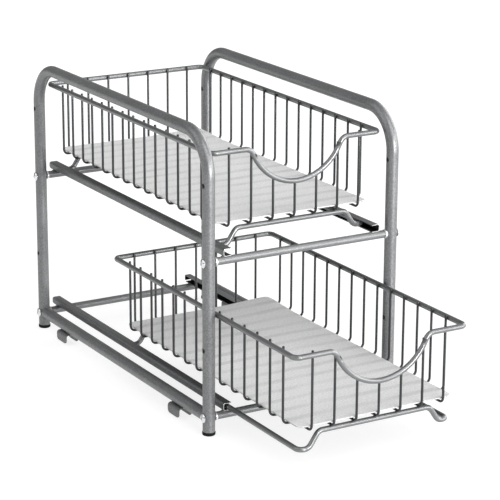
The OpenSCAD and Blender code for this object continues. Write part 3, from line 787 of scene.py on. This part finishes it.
# sheared front edges of the C rails: bare steel strips that also stand in as a painted highlight on the
# rails' front ends
railEdgeSizes = {
    "bar": {"diameter": 0.95, "bendSteps": 6, "sides": 8},
    "frontY": -216.4, "mouthX": 91.7, "webX": 101.0, "lowZ": 0.5, "highZ": 8.5, "bend": 2.0,
}


def railEdgePath(side, floor, s):
    mouth, web, y = side * s["mouthX"], side * s["webX"], s["frontY"]
    low, high = floor + s["lowZ"], floor + s["highZ"]
    return [[mouth, y, low, 0], [web, y, low, s["bend"]], [web, y, high, s["bend"]], [mouth, y, high, 0]]


edgePaths = [railEdgePath(side, floor, railEdgeSizes) for side in (-1, 1) for floor in railFloors]
railEdges = bentBars("railFrontEdges", edgePaths, False, railEdgeSizes["bar"], cutSteel(edgeHighlightFinish))
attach(railEdges, "frame")

# weld beads of the frame
beadSizes = {
    "tube": {"diameter": 2.0, "bendSteps": 1, "sides": 8, "ripple": 0.14, "rippleLength": 1.3},
    "clip": {"diameter": 1.6, "bendSteps": 1, "sides": 8, "ripple": 0.16, "rippleLength": 1.2},
    "taper": (0.35, 0.4),       # share of the width at a bead's end, and what each step adds
    "tubeRadius": 7.05,
    "arc": (47, 133), "arcSteps": 30,       # degrees round the side tube, above and below
    "clipY": 146.5, "clipX": 2.7, "clipTop": 13.1, "clipRun": (4, 11.5), "clipSteps": 16,
    "dab": [(0.4, -0.9), (1.3, -0.6), (1.8, 0), (1.3, 0.6), (0.4, 0.9)],    # radius and height
    "dabSides": 10, "dabSpread": (0.9, 1.15), "dabSeed": 3,
    "railX": (91.7, 101.3), "rodTops": (25.0, 203.5),
}


def tapered(path, s):
    # tapers both ends of a bead
    last = len(path) - 1
    start, step = s["taper"]
    return [[*p, 0, min(1.0, start + step * min(i, last - i))] for i, p in enumerate(path)]


def tubeBeads(s):
    # round the ends of the side tubes, where they meet the legs
    low, high = s["arc"]
    angles = [math.radians(low + (high - low) * k / s["arcSteps"]) for k in range(s["arcSteps"] + 1)]
    beads = []
    for side, end, x, y in fourCorners(legX, legY):
        for up in (1, -1):
            path = []
            for angle in angles:
                across, rise = s["tubeRadius"] * math.cos(angle), s["tubeRadius"] * math.sin(angle) * up
                reach = legY - math.sqrt(s["tubeRadius"] ** 2 - across ** 2)
                path.append([x + across, end * reach, rodHeights["lower"] + rise])
            beads.append(tapered(path, s))
    return beads


def clipBeads(s):
    # two short beads on each side of a stacking clip
    first, last = s["clipRun"]
    run = [first + (last - first) * k / s["clipSteps"] for k in range(s["clipSteps"] + 1)]
    beads = []
    for side, end, x, y in fourCorners(legX, s["clipY"]):
        for across in (-1, 1):
            for half in (-1, 1):
                path = [[x + across * s["clipX"], y + half * r, s["clipTop"]] for r in run]
                beads.append(tapered(path, s))
    return beads


def railSpots(s):
    # where the rails lie on the rods
    return [((side * x, end * legY, top), (0, 0, 1))
            for side in (-1, 1) for end in (-1, 1) for x in s["railX"] for top in s["rodTops"]]


tubeWelds = bentBars("sideTubeWelds", tubeBeads(beadSizes), False, beadSizes["tube"], coats["tube_coat"])
clipWelds = bentBars("clipWelds", clipBeads(beadSizes), False, beadSizes["clip"], coats["rail_coat"])
dab = turned("dab", beadSizes["dab"], beadSizes["dabSides"])
railWelds = repeated(
    "railWelds", dab, railSpots(beadSizes), beadSizes["dabSpread"], beadSizes["dabSeed"], coats["rail_coat"])
for piece, slotName in ((tubeWelds, "tube_coat"), (clipWelds, "rail_coat"), (railWelds, "rail_coat")):
    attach(piece, "frame")
print("frame welded")


# studio: one pale floor, a plain world and soft lamps
studioLook = {
    "floorColor": "#999999", "floorRoughness": 0.9, "floorGlow": 0.8, "floorHalf": 12,
    "worldColor": "#ffffff", "worldStrength": 0.3,
    "lamps": [      # name, degrees to the right of the front, degrees up, width in degrees and strength
        ("front", 8, 3, 19, 3.2),
        ("frontRight", 48, 6, 36, 1.9),
        ("right", 100, 12, 60, 2.2),
        ("left", -105, 38, 60, 0.75),
        ("high", 12, 50, 50, 1.38),
    ],
}


def floorPaint(look):
    # matt white floor paint; it shows white to the eye and in reflections, and keeps the shadow
    material, tree, shader = newMaterial("whiteFloorPaint", look["floorColor"], look["floorRoughness"])
    rays = addNode(tree, "ShaderNodeLightPath").outputs
    seen = addNode(tree, "ShaderNodeMath", {"operation": "ADD"}, {
        0: rays["Is Camera Ray"], 1: rays["Is Glossy Ray"]})
    through = addNode(tree, "ShaderNodeMath", {"operation": "ADD", "use_clamp": True}, {
        0: seen.outputs["Value"], 1: rays["Is Transmission Ray"]})
    glow = addNode(tree, "ShaderNodeMath", {"operation": "MULTIPLY"}, {
        0: through.outputs["Value"], 1: look["floorGlow"]})
    tree.links.new(glow.outputs["Value"], shader.inputs["Emission Strength"])
    shader.inputs["Emission Color"].default_value = (1, 1, 1, 1)
    shader.inputs["Specular IOR Level"].default_value = 0.0
    return material


def addFloor(look):
    half = look["floorHalf"]    # metres
    mesh = bpy.data.meshes.new("floor")
    corners = [(-half, -half, 0), (half, -half, 0), (half, half, 0), (-half, half, 0)]
    mesh.from_pydata(corners, [], [(0, 1, 2, 3)])
    mesh.materials.append(floorPaint(look))
    newObject("floor", mesh)


def addLamp(name, around, rise, width, strength):
    data = bpy.data.lights.new(name, "SUN")
    data.angle = math.radians(width)
    data.energy = strength
    lamp = bpy.data.objects.new(name, data)
    around, rise = math.radians(around), math.radians(rise)
    source = Vector((math.sin(around) * math.cos(rise), -math.cos(around) * math.cos(rise), math.sin(rise)))
    lamp.matrix_world = source.to_track_quat("Z", "Y").to_matrix().to_4x4()
    bpy.context.scene.collection.objects.link(lamp)


def addWorld(look):
    world = bpy.data.worlds.new("world")
    world.use_nodes = True
    background = world.node_tree.nodes["Background"]
    background.inputs["Color"].default_value = linear(look["worldColor"])
    background.inputs["Strength"].default_value = look["worldStrength"]
    bpy.context.scene.world = world


addFloor(studioLook)
for lamp in studioLook["lamps"]:
    addLamp(*lamp)
addWorld(studioLook)
bpy.context.scene.view_settings.view_transform = "Standard"
print("studio set")
